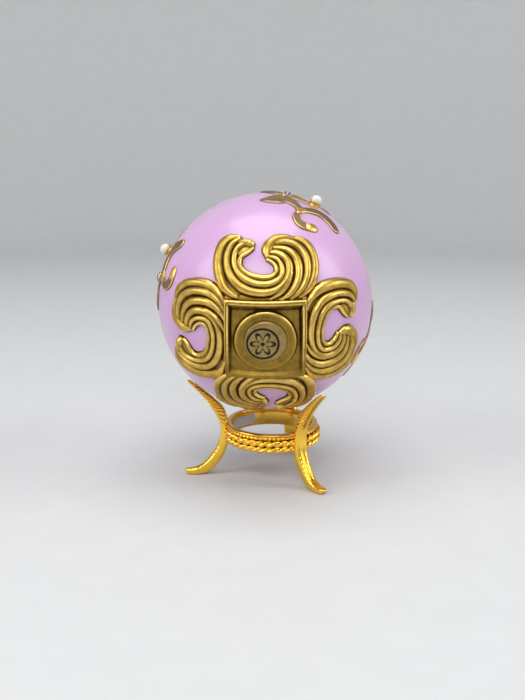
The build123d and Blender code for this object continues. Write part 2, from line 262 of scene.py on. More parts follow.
def lathe(name, profile, count, centre, axis, side, closed=True):
    """A profile of (radius, height) points turned round an axis."""
    out = arrows(full_turn(count), side, np.cross(axis, side))
    radius, height = np.array(profile, float).T[:, None, :, None]
    points = centre + radius * out[:, None, :] + height * axis
    faces = grid_faces(count, len(profile), wrap_rows=True, wrap_columns=closed)
    return new_piece(name, points.reshape(-1, 3), faces)


# ---------------------------------------------------------------- materials


def material(name):
    """A new node material: returns it, its node tree and its main shader."""
    made = bpy.data.materials.new(name)
    made.use_nodes = True
    tree = made.node_tree
    return made, tree, tree.nodes["Principled BSDF"]


def set_inputs(node, values):
    """Fill in a node's unlinked inputs."""
    for key, value in values.items():
        node.inputs[key].default_value = value


def add_node(tree, kind, inputs=None, **settings):
    """A node with its settings and unlinked inputs filled in."""
    node = tree.nodes.new(kind)
    for key, value in settings.items():
        setattr(node, key, value)
    set_inputs(node, inputs or {})
    return node


def noise(tree, scale, detail=3.0, roughness=0.5):
    """A socket with noise in the object's own metres."""
    place = add_node(tree, "ShaderNodeTexCoord")
    made = add_node(tree, "ShaderNodeTexNoise", {
        "Scale": scale, "Detail": detail, "Roughness": roughness,
    })
    tree.links.new(place.outputs["Object"], made.inputs["Vector"])
    return made.outputs["Fac"]


def point_value(tree, name):
    """A socket with the value that a mesh holds at each point."""
    return add_node(tree, "ShaderNodeAttribute", attribute_name=name).outputs["Fac"]


def scaled_sum(tree, source, factor, offset):
    """A socket times a number, plus another socket."""
    made = add_node(tree, "ShaderNodeMath", {1: factor}, operation="MULTIPLY_ADD")
    tree.links.new(source, made.inputs[0])
    tree.links.new(offset, made.inputs[2])
    return made.outputs["Value"]


def grey(value):
    return (value,) * 3


def ramp(tree, source, stops):
    """A socket with the colours of a ramp fed from another."""
    made = add_node(tree, "ShaderNodeValToRGB")
    elements = made.color_ramp.elements
    while len(elements) < len(stops):
        elements.new(0.5)
    for element, (place, colour) in zip(elements, stops):
        element.position = place
        element.color = (*colour, 1.0)
    tree.links.new(source, made.inputs["Fac"])
    return made.outputs["Color"]


def tint(tree, shader, source, *stops):
    """A shader's base colour from a ramp over a socket."""
    tree.links.new(ramp(tree, source, stops), shader.inputs["Base Color"])


def bump(tree, shader, source, strength, depth, name="Normal"):
    """Bump on a shader from a height socket, depth in metres."""
    made = add_node(tree, "ShaderNodeBump", {"Strength": strength, "Distance": depth})
    tree.links.new(source, made.inputs["Height"])
    tree.links.new(made.outputs["Normal"], shader.inputs[name])


def lilac_glaze():
    made, tree, shader = material("lilac_glaze")
    cloud = noise(tree, 22.0, 4.0)
    tint(tree, shader, cloud, (0.3, (0.555, 0.325, 0.57)), (0.7, (0.595, 0.36, 0.60)))
    set_inputs(shader, {
        "Roughness": 0.4,
        "Coat Weight": 0.7,
        "Coat Roughness": 0.2,
        "Coat IOR": 1.45,
        "Subsurface Weight": 0.12,
        "Subsurface Radius": (0.004, 0.002, 0.004),
        "Subsurface Scale": 0.3,
    })
    ripple = noise(tree, 260.0, 2.0)
    bump(tree, shader, ripple, 0.05, 0.0004, "Coat Normal")
    return made


PATCH_SPREAD = 0.22        # how far patches of tarnish shift old gold's tone
HOLLOW_ROUGHNESS = 0.3     # how much rougher old gold is in its hollows


def old_gold(name, light, middle, dark, roughness):
    """Satin gilding: a painted highlight on the ridges, and patina with painted shade where relief
    is low.
    """
    made, tree, shader = material(name)
    depth = add_node(tree, "ShaderNodeMath", {1: 0.5, 2: 0.5}, operation="MULTIPLY_ADD")
    tree.links.new(point_value(tree, "cavity"), depth.inputs[0])
    patches = noise(tree, 420.0, 4.0, 0.6)
    spread = scaled_sum(tree, patches, PATCH_SPREAD, depth.outputs["Value"])
    shift = add_node(tree, "ShaderNodeMath", {1: -PATCH_SPREAD / 2}, operation="ADD")
    tree.links.new(spread, shift.inputs[0])
    tone = shift.outputs["Value"]
    # Low cavity gets the light colour as a painted highlight, high cavity the dark colour as patina
    # and painted shade.
    tint(tree, shader, tone, (0.30, light), (0.47, middle), (0.72, dark))
    rough = ramp(tree, tone, [(0.35, grey(roughness)), (0.8, grey(roughness + HOLLOW_ROUGHNESS))])
    tree.links.new(rough, shader.inputs["Roughness"])
    set_inputs(shader, {"Metallic": 1.0})
    grain = noise(tree, 2600.0, 3.0, 0.6)
    bump(tree, shader, grain, 0.16, 0.00006)
    return made


def bright_gold():
    """Gold plating over a cast surface with fine pits."""
    made, tree, shader = material("bright_gold")
    stains = noise(tree, 700.0, 4.0, 0.65)
    tone = scaled_sum(tree, stains, 0.35, point_value(tree, "cavity"))
    tint(
        tree, shader, tone,
        (0.0, (1.0, 0.70, 0.14)), (0.25, (0.96, 0.56, 0.06)), (0.75, (0.42, 0.18, 0.01)),
    )
    set_inputs(shader, {"Metallic": 1.0, "Roughness": 0.2})
    pits = noise(tree, 1900.0, 2.0, 0.6)
    bump(tree, shader, pits, 0.35, 0.00012)
    return made


def polished_gold():
    """The ring's smooth band."""
    made, tree, shader = material("polished_gold")
    smear = noise(tree, 180.0, 3.0)
    tint(tree, shader, smear, (0.3, (0.72, 0.42, 0.06)), (0.7, (0.86, 0.54, 0.11)))
    shine = ramp(tree, smear, [(0.3, grey(0.12)), (0.75, grey(0.24))])
    tree.links.new(shine, shader.inputs["Roughness"])
    set_inputs(shader, {"Metallic": 1.0})
    return made


def pearl_lustre():
    made, tree, shader = material("pearl_lustre")
    cloud = noise(tree, 320.0, 3.0)
    tint(tree, shader, cloud, (0.35, (0.74, 0.70, 0.60)), (0.65, (0.68, 0.67, 0.63)))
    set_inputs(shader, {
        "Roughness": 0.3,
        "Coat Weight": 0.8,
        "Coat Roughness": 0.12,
        "Sheen Weight": 0.3,
    })
    skin = noise(tree, 1500.0, 2.0)
    bump(tree, shader, skin, 0.06, 0.00005)
    return made


def blue_crystal():
    made, tree, shader = material("blue_crystal")
    depth = noise(tree, 900.0, 2.0)
    tint(tree, shader, depth, (0.3, (0.02, 0.12, 0.62)), (0.7, (0.06, 0.30, 0.85)))
    set_inputs(shader, {
        "Metallic": 0.55,
        "Roughness": 0.08,
        "Coat Weight": 1.0,
        "Coat Roughness": 0.02,
    })
    return made


def sticker_paper():
    made, tree, shader = material("sticker_paper")
    fibre = noise(tree, 2200.0, 4.0, 0.7)
    tint(tree, shader, fibre, (0.3, (0.42, 0.38, 0.37)), (0.7, (0.52, 0.48, 0.47)))
    set_inputs(shader, {"Roughness": 0.65})
    bump(tree, shader, fibre, 0.2, 0.00004)
    return made


def plug_glaze():
    """Glazed disc in old gold with a dark printed ring and rosette."""
    made, tree, shader = material("plug_glaze")
    ink = point_value(tree, "ink")
    stain = noise(tree, 500.0, 4.0, 0.6)
    ground = ramp(tree, stain, [(0.3, (0.26, 0.18, 0.06)), (0.7, (0.42, 0.30, 0.11))])
    mix = add_node(tree, "ShaderNodeMix", data_type="RGBA")
    tree.links.new(ink, mix.inputs["Factor"])
    tree.links.new(ground, mix.inputs["A"])
    mix.inputs["B"].default_value = (0.006, 0.004, 0.002, 1.0)
    tree.links.new(mix.outputs["Result"], shader.inputs["Base Color"])
    dry = add_node(tree, "ShaderNodeMath", {0: 1.0}, operation="SUBTRACT")
    tree.links.new(ink, dry.inputs[1])
    tree.links.new(dry.outputs["Value"], shader.inputs["Metallic"])
    set_inputs(shader, {"Roughness": 0.42, "Specular IOR Level": 0.25})
    return made


GLAZE = lilac_glaze()
# Light stops are painted highlights for ridges; dark stops are patina and painted shade for
# hollows.
GILT = old_gold(
    "relief_gilt", (0.95, 0.66, 0.20), (0.44, 0.275, 0.05), (0.03, 0.016, 0.002), 0.27
)
SPRIG_GILT = old_gold(
    "sprig_gilt", (0.90, 0.52, 0.16), (0.36, 0.245, 0.15), (0.24, 0.165, 0.105), 0.34
)
CUP_GILT = old_gold(
    "cup_gilt", (0.92, 0.60, 0.20), (0.70, 0.43, 0.11), (0.16, 0.085, 0.02), 0.25
)
GOLD = bright_gold()
POLISHED = polished_gold()
PEARL = pearl_lustre()
BLUE = blue_crystal()
PAPER = sticker_paper()
PLUG = plug_glaze()


def dress(piece, finish, slot, body, *nodes):
    """Give a piece its material, its body and the CAD nodes it stands for. The slot argument is not
    used.
    """
    piece.data.materials.append(finish)
    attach(piece, body)
    if nodes:
        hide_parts(*nodes)


# ---------------------------------------------------------------- camera, light and floor

CAMERA_PLACE = np.array([-0.8, -321.9, 104.9])
CAMERA_PITCH = radians(11.81)
LENS = 54.0
SENSOR = 36.0


def make_camera():
    data = bpy.data.cameras.new("camera")
    data.lens = LENS
    data.sensor_fit = "VERTICAL"
    data.sensor_height = SENSOR
    data.clip_start = 0.01
    data.clip_end = 20.0
    camera = bpy.data.objects.new("camera", data)
    camera.location = CAMERA_PLACE * MM
    camera.rotation_euler = (pi / 2 - CAMERA_PITCH, 0.0, 0.0)
    bpy.context.scene.collection.objects.link(camera)
    bpy.context.scene.camera = camera


# Name, place, width and height, and power: millimetres and watts. Each light faces the egg.
LIGHTS = [
    ("left_window", (-620, -260, 430), (420, 560), 2.3),
    ("right_window", (640, -120, 400), (340, 520), 2.0),
    ("ceiling", (0, -40, 800), (700, 700), 4.8),
    ("front_top", (-30, -560, 520), (420, 240), 1.5),
]
SKY_COLOUR = (0.80, 0.82, 0.85, 1.0)
SKY_STRENGTH = 0.13


def soft_light(name, place, size, power):
    data = bpy.data.lights.new(name, "AREA")
    data.shape = "RECTANGLE"
    data.size = size[0] * MM
    data.size_y = size[1] * MM
    data.energy = power
    lamp = bpy.data.objects.new(name, data)
    lamp.location = Vector(place) * MM
    facing = Vector(tuple(EGG_CENTRE)) - Vector(place)
    lamp.rotation_euler = facing.to_track_quat("-Z", "Y").to_euler()
    bpy.context.scene.collection.objects.link(lamp)


def make_studio():
    for light in LIGHTS:
        soft_light(*light)
    world = bpy.data.worlds.new("studio")
    world.use_nodes = True
    sky = world.node_tree.nodes["Background"]
    set_inputs(sky, {"Color": SKY_COLOUR, "Strength": SKY_STRENGTH})
    bpy.context.scene.world = world
    bpy.context.scene.view_settings.view_transform = "Standard"


FLOOR_REACH = 620.0
WALL_BEND = 280.0
WALL_TOP = 1500.0


def make_floor():
    """A pale round sweep: flat under the object and curving up into a wall on every side."""
    bend = [
        (FLOOR_REACH + WALL_BEND * sin(lean), WALL_BEND - WALL_BEND * cos(lean))
        for lean in np.linspace(0, pi / 2, 24)
    ]
    profile = [(0.001, 0.0), (120.0, 0.0), *bend, (FLOOR_REACH + WALL_BEND, WALL_TOP)]
    floor = lathe("floor", profile, 128, np.zeros(3), VERTICAL, RIGHT, closed=False)
    made, tree, shader = material("floor_paper")
    tooth = noise(tree, 90.0, 3.0)
    tint(tree, shader, tooth, (0.3, (0.575, 0.58, 0.585)), (0.7, (0.59, 0.595, 0.60)))
    set_inputs(shader, {"Roughness": 0.6})
    floor.data.materials.append(made)


make_camera()
make_studio()
make_floor()

# ---------------------------------------------------------------- porcelain shell

WALL = 2.6
POUR_HOLE = 4.2
SHELL_ROWS = 150
SHELL_TURNS = 240
# Distances from the sharp pole: where the even rows stop, and the closer rows start and stop.
EVEN_END, TIP_START, TIP_END = 0.6, 0.5, 0.02
TIP_ROWS = 4
INNER_STEP = 4       # the inside has one row for so many outside


def make_shell():
    hole = asin(POUR_HOLE / BLUNT_RADIUS) * BLUNT_RADIUS
    side_arc = SIDE_RADIUS * (SIDE_END - pi / 2)
    full = QUARTER_ARC + side_arc + SHARP_RADIUS * (pi - SIDE_END)
    arcs = np.concatenate([
        np.linspace(hole, full - EVEN_END, SHELL_ROWS),
        np.linspace(full - TIP_START, full - TIP_END, TIP_ROWS),
    ])
    turns = full_turn(SHELL_TURNS)
    rows = [on_egg(turns, arc, 0.0) for arc in arcs]
    rows += [on_egg(turns, arc, -WALL) for arc in arcs[::-INNER_STEP]]
    faces = grid_faces(len(rows), SHELL_TURNS, True, True)
    shell = new_piece("porcelain_shell", np.concatenate(rows), faces)
    dress(shell, GLAZE, "lilac_glaze", "egg", "egg_shell")


make_shell()

# ---------------------------------------------------------------- medallion relief

GRID = 0.15


def patch(low_u, high_u, low_v, high_v, step=GRID):
    """Grids of u and v over a rectangle on the shell."""
    u = np.arange(low_u, high_u + step, step)
    v = np.arange(low_v, high_v + step, step)
    return np.meshgrid(u, v, indexing="xy")


def medallion_place(quarter):
    """From places on the top crest's side of the medallion to points in this quarter."""
    def place(u, v, lift):
        turn = np.arctan2(v, u) - quarter * pi / 2
        return on_egg(turn, np.hypot(u, v), lift)
    return place


MEDALLION_DROP = 0.6


def lowered_place(u, v, lift):
    """Places on the frame and the disc, which sit a little below the shell's pole."""
    return medallion_place(0)(u, v - MEDALLION_DROP, lift)


# Ridges of the top crest as rows of (right, up, half width, height), on the shell from the pole.
HOOK_RIDGES = [
    [(-7.2, 11.6, 0.8, 1.0), (-9.8, 13.1, 1.3, 1.5), (-12.0, 16.2, 1.75, 1.8),
     (-13.1, 20.0, 1.9, 1.9), (-13.2, 24.0, 1.9, 1.9), (-12.1, 27.1, 1.85, 1.8),
     (-9.9, 28.6, 1.55, 1.7), (-7.4, 28.9, 1.0, 1.3)],
    [(-7.2, 28.2, 0.9, 1.4), (-9.1, 26.7, 1.2, 1.7), (-10.2, 24.2, 1.4, 1.9),
     (-10.4, 21.4, 1.4, 1.9), (-9.6, 18.5, 1.5, 1.9), (-7.8, 15.8, 1.55, 1.9),
     (-5.0, 13.8, 1.5, 1.85), (-1.7, 12.9, 1.4, 1.8), (1.2, 13.1, 1.3, 1.7),
     (3.6, 14.1, 1.2, 1.65), (5.4, 15.8, 1.3, 1.7), (6.7, 18.6, 1.45, 1.8),
     (6.5, 21.2, 1.4, 1.7), (4.9, 23.1, 1.3, 1.6), (2.8, 23.9, 1.1, 1.4),
     (1.2, 24.0, 0.9, 1.2)],
    [(-5.4, 26.9, 1.3, 1.75), (-7.5, 25.2, 1.05, 1.8), (-8.3, 22.3, 1.05, 1.8),
     (-7.6, 19.3, 1.15, 1.8), (-5.7, 16.9, 1.25, 1.85), (-3.0, 15.4, 1.25, 1.85),
     (0.1, 15.0, 1.2, 1.8), (2.8, 15.8, 1.2, 1.75), (4.4, 17.4, 1.1, 1.7),
     (4.7, 19.4, 1.0, 1.6), (4.1, 21.2, 0.9, 1.5), (2.9, 22.3, 0.85, 1.4),
     (1.5, 22.7, 0.7, 1.2), (0.5, 22.8, 0.5, 1.0)],
    [(-4.2, 26.8, 1.55, 1.95), (-5.2, 27.0, 1.45, 1.9), (-6.4, 26.9, 1.25, 1.8)],
    [(-3.2, 25.4, 0.5, 0.9), (-4.8, 24.0, 0.65, 1.0), (-6.3, 22.9, 0.8, 1.1),
     (-6.8, 21.3, 0.9, 1.2), (-6.1, 19.3, 1.0, 1.25), (-4.4, 17.8, 1.05, 1.25),
     (-2.0, 17.0, 1.1, 1.3), (0.4, 16.8, 1.1, 1.3), (2.2, 17.4, 1.0, 1.3),
     (3.2, 18.8, 0.85, 1.2), (2.9, 20.3, 0.75, 1.1), (1.8, 21.4, 0.65, 1.0),
     (0.6, 22.0, 0.5, 0.9)],
]
FAN_RIDGES = [
    [(1.4, 11.1, 0.5, 0.8), (4.0, 12.8, 1.0, 1.4), (5.9, 15.2, 1.25, 1.7),
     (6.8, 18.0, 1.4, 1.8)],
    [(4.3, 10.9, 0.6, 0.8), (6.7, 12.5, 1.1, 1.4), (8.7, 15.2, 1.4, 1.75),
     (9.6, 18.8, 1.5, 1.85), (9.1, 22.0, 1.45, 1.8), (7.4, 24.2, 1.3, 1.7),
     (5.0, 25.2, 1.1, 1.5), (2.6, 25.4, 0.9, 1.3)],
    [(7.2, 11.2, 0.7, 0.9), (9.8, 13.4, 1.15, 1.5), (11.6, 16.4, 1.4, 1.8),
     (12.3, 20.0, 1.45, 1.9), (11.7, 23.4, 1.45, 1.85), (9.8, 25.9, 1.35, 1.8),
     (7.0, 27.1, 1.3, 1.7), (3.8, 27.1, 1.3, 1.6), (1.6, 26.2, 1.1, 1.3)],
    [(9.8, 11.7, 0.9, 1.0), (12.5, 14.2, 1.35, 1.5), (14.2, 17.6, 1.6, 1.8),
     (14.7, 21.3, 1.6, 1.85), (14.0, 24.8, 1.6, 1.8), (12.0, 27.3, 1.5, 1.7),
     (9.6, 28.3, 1.2, 1.5)],
    [(8.6, 28.3, 1.1, 1.4), (5.6, 28.5, 1.6, 1.75), (3.0, 27.9, 1.8, 1.8),
     (1.2, 26.3, 1.8, 1.7), (0.6, 24.5, 1.5, 1.5), (0.7, 23.1, 0.9, 1.2)],
]
CREST_BED = [
    [(-8.0, 12.5, 2.0, 0.8), (-11.0, 17.5, 2.6, 0.9), (-11.0, 22.0, 2.6, 0.9),
     (-10.0, 26.0, 2.3, 0.9), (-7.6, 27.8, 1.4, 0.9)],
    [(-9.0, 13.6, 1.6, 0.7), (-3.0, 14.2, 2.0, 0.9), (2.0, 14.0, 2.0, 0.9),
     (7.0, 14.0, 2.2, 0.9)],
    [(7.0, 13.4, 2.2, 0.8), (9.6, 17.0, 3.6, 0.9), (10.2, 21.0, 4.0, 0.9),
     (8.2, 24.8, 3.6, 0.9), (4.2, 26.6, 2.6, 0.9), (1.8, 25.3, 1.6, 0.9)],
    [(-9.6, 11.3, 1.2, 0.5), (0.0, 11.2, 1.4, 0.5), (9.8, 11.3, 1.2, 0.5)],
    [(-3.6, 25.9, 0.9, 1.0), (-5.4, 25.0, 1.2, 1.1), (-7.0, 23.6, 1.0, 1.0)],
]


# (place on the crest, place in the strokes it shows): every hook arm reaches further round than
# the strokes say, and on all but the top crest the opening comes closer to the frame.
HOOK_STRETCH = [(-17.4, -16.4), (-15.8, -14.9), (-6.8, -5.9), (1.0, 1.0), (18.0, 18.0)]
OPENING_STRETCH = [(9.6, 9.6), (11.0, 11.0), (16.6, 17.7), (21.0, 21.6), (28.0, 28.0), (32.0, 32.0)]


def read_off(table, at):
    """Straight lines between the rows of a table, read at each place."""
    return np.interp(at, *np.array(table).T)


def make_crests():
    u, v = patch(-17.4, 18.0, 9.6, 32.0)
    across = read_off(HOOK_STRETCH, u)
    for quarter in range(4):
        up = v if quarter == 0 else read_off(OPENING_STRETCH, v)
        height = strokes_height(across, up, HOOK_RIDGES + FAN_RIDGES + CREST_BED)
        height = blurred(height, 2)
        crest = relief_piece(f"crest_relief_{quarter + 1}", u, v, height, medallion_place(quarter))
        dress(crest, GILT, "relief_gilt", "egg", f"crest_{quarter + 1}")


# The frame's inner walls are coved above and below the disc and beaded at its sides: (distance
# from the middle, height). The collar slopes down inwards from its rim like a funnel.
COVE_SECTION = [
    (0.0, 0.4), (8.8, 0.4), (9.1, 0.6), (9.6, 1.2), (10.1, 1.85), (10.4, 2.0), (20.0, 2.0),
]
SIDE_SECTION = [
    (0.0, 0.4), (9.5, 0.4), (9.75, 0.7), (10.0, 1.6), (10.25, 1.9), (10.5, 1.55), (10.7, 1.5),
    (10.95, 1.9), (20.0, 1.9),
]
OUTER_SECTION = [
    (0.0, 2.0), (10.8, 1.8), (11.1, 1.6), (11.35, 0.9), (11.6, -0.5), (20.0, -0.6),
]
COLLAR_RIM = 8.1
COLLAR_SECTION = [
    (0.0, 0.3), (5.95, 0.35), (6.1, 0.45), (6.8, 0.65), (7.4, 0.95), (7.85, 1.2),
    (COLLAR_RIM, 1.28), (8.3, 1.2), (8.5, 0.85), (8.7, 0.4), (20.0, 0.0),
]
FRAME_REACH = 11.9
FRAME_GRID = 0.13
FRAME_TONE = 0.12
# Towards the top the hollows get more painted shade, as the upper cove faces down.
FRAME_SHADE = [(-8.0, 0.2), (8.0, 1.4)]     # (up, how much darker the hollows are there)


def make_frame():
    u, v = patch(-FRAME_REACH, FRAME_REACH, -FRAME_REACH, FRAME_REACH, FRAME_GRID)
    around = np.hypot(u, v)
    inside = np.maximum(read_off(COVE_SECTION, abs(v)), read_off(SIDE_SECTION, abs(u)))
    outside = read_off(OUTER_SECTION, np.maximum(abs(u), abs(v)))
    height = np.minimum(inside, outside)
    collar = read_off(COLLAR_SECTION, around)
    height = np.where(around < COLLAR_RIM, collar, np.maximum(height, collar))
    height = blurred(height, 3)
    # Patina with painted shade in the hollows, more towards the top, and a painted highlight on the
    # beads.
    patina_and_painted_light = FRAME_TONE + read_off(FRAME_SHADE, v) * hollows(height)
    base = relief_piece("square_frame", u, v, height, lowered_place, {"cavity": patina_and_painted_light})
    dress(base, GILT, "relief_gilt", "egg", "base_frame")


PLUG_SECTION = [(0.0, 1.12), (4.6, 1.05), (5.3, 1.02), (5.7, 0.85), (5.95, 0.4), (6.15, -0.5)]
MARK_PLACE = (-0.7, -0.4)
MARK_RING = 4.2
MARK_LINE = 0.3
MARK_EYE = 0.55
PETALS = 6
PETAL_NEAR, PETAL_REACH = 0.9, 2.2      # the rosette's outline at its waists, and how far it swells
PETAL_LINE, PETAL_SWELL = 0.28, 0.14
PETAL_START = 0.95
INK_GAIN = 1.6


def make_plug():
    """The disc in the middle, printed with a ring and a rosette."""
    u, v = patch(-6.4, 6.4, -6.4, 6.4, 0.07)
    height = read_off(PLUG_SECTION, np.hypot(u, v))
    across, up = u - MARK_PLACE[0], v - MARK_PLACE[1]
    around, turn = np.hypot(across, up), np.arctan2(up, across)
    ring = abs(around - MARK_RING) < MARK_LINE
    eye = around < MARK_EYE
    wave = abs(np.cos(turn * PETALS / 2))
    outline = abs(around - (PETAL_NEAR + PETAL_REACH * wave)) < PETAL_LINE + PETAL_SWELL * wave
    printed = ring | eye | (outline & (around > PETAL_START))
    ink = np.clip(blurred(printed.astype(float), 1) * INK_GAIN, 0, 1)
    plug = relief_piece("centre_disc", u, v, height, lowered_place, {"ink": ink})
    dress(plug, PLUG, "plug_glaze", "egg", "centre_plug")


make_crests()
make_frame()
make_plug()

# ---------------------------------------------------------------- side sprigs

SPRIG_TURN = radians(71.0)
SPRIG_MIRROR = -5.0


def sprig_place(quarter):
    """From places round a sprig's middle (round the egg, towards the blunt end) to points."""
    def place(u, v, lift):
        turn = SPRIG_TURN - quarter * pi / 2 + u / BLUNT_RADIUS
        return on_egg(turn, QUARTER_ARC - v, lift)
    return place


SPRIG_RIBBONS = [
    [(0.5, 7.2, 0.8, 0.95), (0.95, 9.2, 1.15, 1.0), (0.95, 11.2, 1.45, 1.0),
     (0.2, 12.8, 1.65, 1.0), (-1.4, 13.7, 1.65, 1.0), (-3.0, 13.6, 1.5, 0.95)],
    [(-0.5, 5.9, 1.2, 0.9), (-2.4, 4.5, 1.6, 0.95), (-4.6, 3.4, 2.0, 1.0),
     (-6.6, 3.1, 2.3, 1.0), (-8.4, 3.8, 2.2, 0.95), (-10.1, 5.2, 2.0, 0.9),
     (-11.4, 6.6, 1.6, 0.85)],
    [(0.5, 5.6, 0.9, 0.7), (1.8, 3.4, 1.6, 0.7), (4.4, 1.0, 2.6, 0.75), (7.0, 1.2, 3.7, 0.75),
     (9.6, 2.2, 2.3, 0.7), (11.6, 2.6, 0.6, 0.6)],
]
SPRIG_KNOBS = [
    [(-3.7, 13.3, 1.75, 1.3), (-4.5, 13.0, 1.7, 1.3)],
    [(0.9, 8.4, 0.6, 1.1), (0.3, 7.0, 1.15, 1.25), (-0.8, 6.0, 1.0, 1.15)],
]
SPRIG_ROUNDS = SPRIG_KNOBS + [
    [(0.5, 7.6, 0.8, 1.1), (1.2, 5.5, 0.9, 1.1), (2.8, 3.7, 0.95, 1.1), (4.6, 2.7, 0.85, 1.0),
     (6.4, 2.8, 0.7, 0.9), (7.6, 3.4, 0.4, 0.7)],
    [(5.2, 2.6, 0.5, 0.8), (6.6, 3.8, 1.15, 1.0), (8.2, 3.9, 1.15, 1.0), (10.0, 3.7, 1.0, 0.95),
     (11.9, 2.8, 0.35, 0.6)],
    [(0.0, 6.4, 0.7, 0.9), (0.5, 4.4, 0.9, 1.0), (1.7, 2.2, 1.05, 1.05), (3.4, 0.2, 1.1, 1.05),
     (5.4, -0.7, 1.1, 1.0), (7.4, -0.6, 1.05, 1.0), (9.2, 0.5, 0.9, 0.9),
     (11.6, 2.5, 0.4, 0.6)],
    [(1.6, 0.6, 0.5, 0.8), (3.2, -1.4, 0.75, 0.9), (5.4, -2.4, 0.85, 0.95),
     (7.5, -2.4, 0.7, 0.9), (9.0, -1.4, 0.4, 0.6)],
    [(5.4, -3.1, 0.45, 0.7), (2.3, -2.7, 0.5, 0.8), (-0.9, -1.9, 0.55, 0.85),
     (-3.7, -0.7, 0.55, 0.85), (-5.6, 1.3, 0.5, 0.8)],
]


SPRIG_FLATNESS = 0.55
# Sprig tone: patina with painted shade in the hollows, and a painted highlight on the rims and
# knobs.
SPRIG_TONE, SPRIG_SHADE, KNOB_SHINE = 0.3, 1.5, 1.3


def with_mirror(strokes):
    """The strokes, and the same on the far side of the sprig's mirror line."""
    return strokes + [
        [(u, 2 * SPRIG_MIRROR - v, width, height) for u, v, width, height in stroke]
        for stroke in strokes
    ]


def make_sprigs():
    u, v = patch(-14.5, 13.5, -26.5, 16.5, 0.16)
    ribbons = strokes_height(u, v, with_mirror(SPRIG_RIBBONS), dished)
    rounds = strokes_height(u, v, with_mirror(SPRIG_ROUNDS))
    height = np.maximum(ribbons, rounds)
    height = np.where(height > 0, height * SPRIG_FLATNESS, height)
    knobs = np.clip(strokes_height(u, v, with_mirror(SPRIG_KNOBS)), 0, 1)
    # Painted shade and patina in the hollows, painted highlight on rims and knobs.
    patina_and_painted_light = SPRIG_TONE + SPRIG_SHADE * hollows(height) - KNOB_SHINE * knobs
    values = {"cavity": np.clip(patina_and_painted_light, -1, 1)}
    for quarter in range(4):
        place = sprig_place(quarter)
        sprig = relief_piece(f"sprig_relief_{quarter + 1}", u, v, height, place, values)
        dress(sprig, SPRIG_GILT, "relief_gilt", "egg", f"scroll_sprig_{quarter + 1}")


make_sprigs()

# ---------------------------------------------------------------- pearls and stones

PEARL_RADIUS = 1.6
PEARL_WAVES, PEARL_UNEVEN = 5, 0.012
PIN = 0.01           # radius that stands for a pole, where a lathed piece would pinch
CUP_PETALS = 6
# Settings: rows of (radius, height, share of the petals' or claws' rise).
CUP_SECTION = [
    (1.55, -0.5, 0.0), (1.75, 0.1, 0.0), (1.6, 0.3, 0.0), (1.45, 0.5, 0.05), (1.6, 0.85, 0.1),
    (1.75, 1.15, 0.2), (1.7, 1.25, 0.25), (1.6, 1.15, 0.2), (1.45, 0.85, 0.1), (1.1, 0.45, 0.0),
    (0.7, 0.2, 0.0), (0.02, 0.12, 0.0),
]
STONE_SIDES = 8
# Rows of (radius, height, turn as a share of one side).
STONE_RINGS = [
    (0.01, 0.4, 0.0), (0.95, 0.45, 0.5), (1.38, 0.85, 0.0), (1.38, 1.0, 0.0), (1.13, 1.35, 0.5),
    (0.72, 1.6, 0.0), (0.02, 1.62, 0.0),
]
BEZEL_CLAWS = 8
CLAW_GAIN, CLAW_GAP = 4, 2.6
BEZEL_SECTION = [
    (1.75, -0.5, 0.0), (1.8, 0.2, 0.0), (1.7, 0.5, 0.0), (1.74, 0.75, 0.1), (1.66, 0.92, 0.3),
    (1.55, 0.98, 0.4), (1.46, 0.9, 0.35), (1.41, 0.75, 0.0), (1.4, 0.45, 0.0), (0.8, 0.35, 0.0),
    (0.02, 0.35, 0.0),
]


def square_to(direction):
    """Two directions square to this one and to each other."""
    side = np.cross(direction, AXIS)
    side = side / np.linalg.norm(side)
    return side, np.cross(direction, side)


def shell_normal(point):
    """The way out of the shell under a point, and the point's height over it."""
    offset = point - EGG_CENTRE
    along = offset @ AXIS
    flat = offset - along * AXIS
    distance = np.linalg.norm(flat)
    out = flat / distance
    bend = BLUNT_RADIUS if along > 0 else SIDE_RADIUS
    pull = np.array([distance - BLUNT_RADIUS + bend, along])
    size = np.hypot(*pull)
    return (pull[0] * out + pull[1] * AXIS) / size, size - bend


def make_setting(name, base, normal, turns, section, lobes):
    """A turned setting that stands on the shell, its rows raised by the lobes."""
    out = arrows(turns, *square_to(normal))
    rows = [
        base + radius * out + (height + share * lobes)[:, None] * normal
        for radius, height, share in section
    ]
    faces = grid_faces(len(rows), len(turns), False, True)
    return new_piece(name, np.concatenate(rows), faces)


def seat(node):
    """A node's middle, the shell's normal there, and the place under it on the shell."""
    low, high = node_box(node)
    middle = (low + high) / 2
    normal, lift = shell_normal(middle)
    return middle, normal, middle - lift * normal


def make_pearl(number):
    middle, normal, base = seat(f"pearl_{number}")
    side, _ = square_to(normal)
    profile = []
    for lean in np.linspace(0, pi, 41):
        uneven = 1 - PEARL_UNEVEN * sin(PEARL_WAVES * lean)
        profile.append((PEARL_RADIUS * sin(lean) * uneven, PEARL_RADIUS * cos(lean)))
    profile[0] = (PIN, profile[0][1])
    profile[-1] = (PIN, profile[-1][1])
    pearl = lathe(f"pearl_bead_{number}", profile, 64, middle, normal, side, closed=False)
    dress(pearl, PEARL, "pearl", "egg", f"pearl_{number}")

    turns = full_turn(72)
    petals = 0.5 + 0.5 * np.cos(CUP_PETALS * turns)
    cup = make_setting(f"pearl_cup_claws_{number}", base, normal, turns, CUP_SECTION, petals)
    dress(cup, CUP_GILT, "cup_gilt", "egg", f"pearl_cup_{number}")


